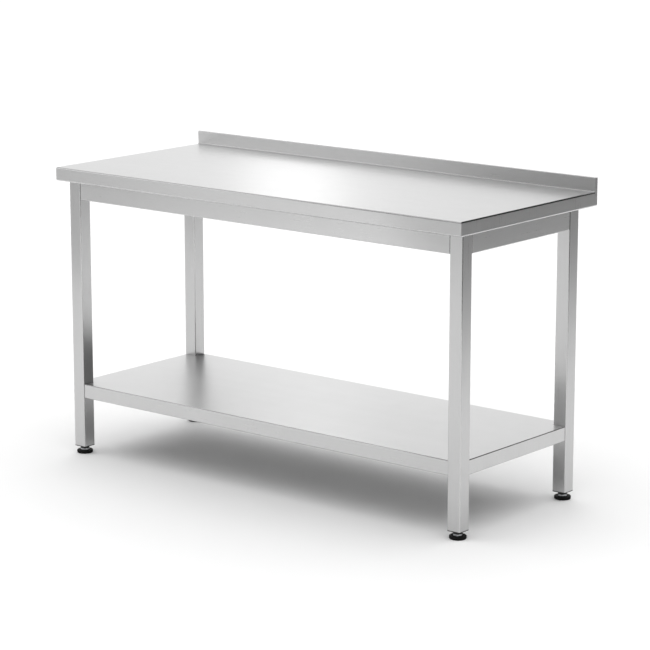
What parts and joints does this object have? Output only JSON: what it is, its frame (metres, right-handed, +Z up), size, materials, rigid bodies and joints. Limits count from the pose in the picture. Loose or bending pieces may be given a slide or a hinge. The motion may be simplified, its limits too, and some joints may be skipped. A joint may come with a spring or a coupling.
{
  "type": "stainless work table",
  "caption": "Stainless steel kitchen work table with a low rear upstand, square legs, an undershelf and screw-adjustable feet.",
  "frame": {"origin": "on the floor, under the middle of the worktop, with the feet screwed home", "axes": "+X along the long side to the right as seen from the front, +Y to the rear upstand, +Z up"},
  "size_m": [1.4, 0.6, 0.863],
  "materials": {
    "sheet_steel": "satin ground stainless, grain along each face",
    "tube_steel": "satin ground stainless, grain along the tube",
    "inner_steel": "mill finish stainless",
    "fastener_steel": "plain stainless",
    "zinc_steel": "bright zinc plated",
    "plug_plastic": "moulded, fine texture",
    "pad_plastic": "moulded, fine texture",
    "laminated_board": "white melamine faced chipboard, raw edges"
  },
  "bodies": {
    "root": {"worktop_sheet": "sheet_steel", "worktop_core_board": "laminated_board", "worktop_stiffener": "inner_steel", "worktop_screws": "fastener_steel", "apron_front": "sheet_steel", "apron_rear": "sheet_steel", "apron_left": "sheet_steel", "apron_right": "sheet_steel", "apron_bolts": "fastener_steel", "apron_washers": "fastener_steel", "apron_rivet_nuts": "fastener_steel", "undershelf_sheet": "sheet_steel", "undershelf_stiffener": "inner_steel", "undershelf_bolts": "fastener_steel", "undershelf_washers": "fastener_steel", "undershelf_rivet_nuts": "fastener_steel", "leg_front_left": "tube_steel", "foot_plug_front_left": "plug_plastic", "foot_insert_nut_front_left": "zinc_steel", "leg_front_right": "tube_steel", "foot_plug_front_right": "plug_plastic", "foot_insert_nut_front_right": "zinc_steel", "leg_rear_left": "tube_steel", "foot_plug_rear_left": "plug_plastic", "foot_insert_nut_rear_left": "zinc_steel", "leg_rear_right": "tube_steel", "foot_plug_rear_right": "plug_plastic", "foot_insert_nut_rear_right": "zinc_steel"},
    "foot_pad_body_fl": {"foot_pad_front_left": "pad_plastic"},
    "foot_stud_body_fl": {"foot_stud_front_left": "zinc_steel"},
    "foot_pad_body_fr": {"foot_pad_front_right": "pad_plastic"},
    "foot_stud_body_fr": {"foot_stud_front_right": "zinc_steel"},
    "foot_pad_body_rl": {"foot_pad_rear_left": "pad_plastic"},
    "foot_stud_body_rl": {"foot_stud_rear_left": "zinc_steel"},
    "foot_pad_body_rr": {"foot_pad_rear_right": "pad_plastic"},
    "foot_stud_body_rr": {"foot_stud_rear_right": "zinc_steel"}
  },
  "joints": [
    {"name": "foot_travel_fl", "type": "slide", "parent": "root", "child": "foot_pad_body_fl", "axis": [0, 0, -1], "range_m": [0, 0.035]},
    {"name": "foot_turn_fl", "type": "hinge", "parent": "foot_pad_body_fl", "child": "foot_stud_body_fl", "pos_m": [-0.6614, -0.2475, 0], "axis": [0, 0, -1], "range_deg": [0, 7200]},
    {"name": "foot_travel_fr", "type": "slide", "parent": "root", "child": "foot_pad_body_fr", "axis": [0, 0, -1], "range_m": [0, 0.035]},
    {"name": "foot_turn_fr", "type": "hinge", "parent": "foot_pad_body_fr", "child": "foot_stud_body_fr", "pos_m": [0.6614, -0.2475, 0], "axis": [0, 0, -1], "range_deg": [0, 7200]},
    {"name": "foot_travel_rl", "type": "slide", "parent": "root", "child": "foot_pad_body_rl", "axis": [0, 0, -1], "range_m": [0, 0.035]},
    {"name": "foot_turn_rl", "type": "hinge", "parent": "foot_pad_body_rl", "child": "foot_stud_body_rl", "pos_m": [-0.6614, 0.223, 0], "axis": [0, 0, -1], "range_deg": [0, 7200]},
    {"name": "foot_travel_rr", "type": "slide", "parent": "root", "child": "foot_pad_body_rr", "axis": [0, 0, -1], "range_m": [0, 0.035]},
    {"name": "foot_turn_rr", "type": "hinge", "parent": "foot_pad_body_rr", "child": "foot_stud_body_rr", "pos_m": [0.6614, 0.223, 0], "axis": [0, 0, -1], "range_deg": [0, 7200]}
  ],
  "couplings": [
    {"joint": "foot_turn_fl", "follows": "foot_travel_fl", "rad_per_m": 3590.4},
    {"joint": "foot_turn_fr", "follows": "foot_travel_fr", "rad_per_m": 3590.4},
    {"joint": "foot_turn_rl", "follows": "foot_travel_rl", "rad_per_m": 3590.4},
    {"joint": "foot_turn_rr", "follows": "foot_travel_rr", "rad_per_m": 3590.4}
  ]
}
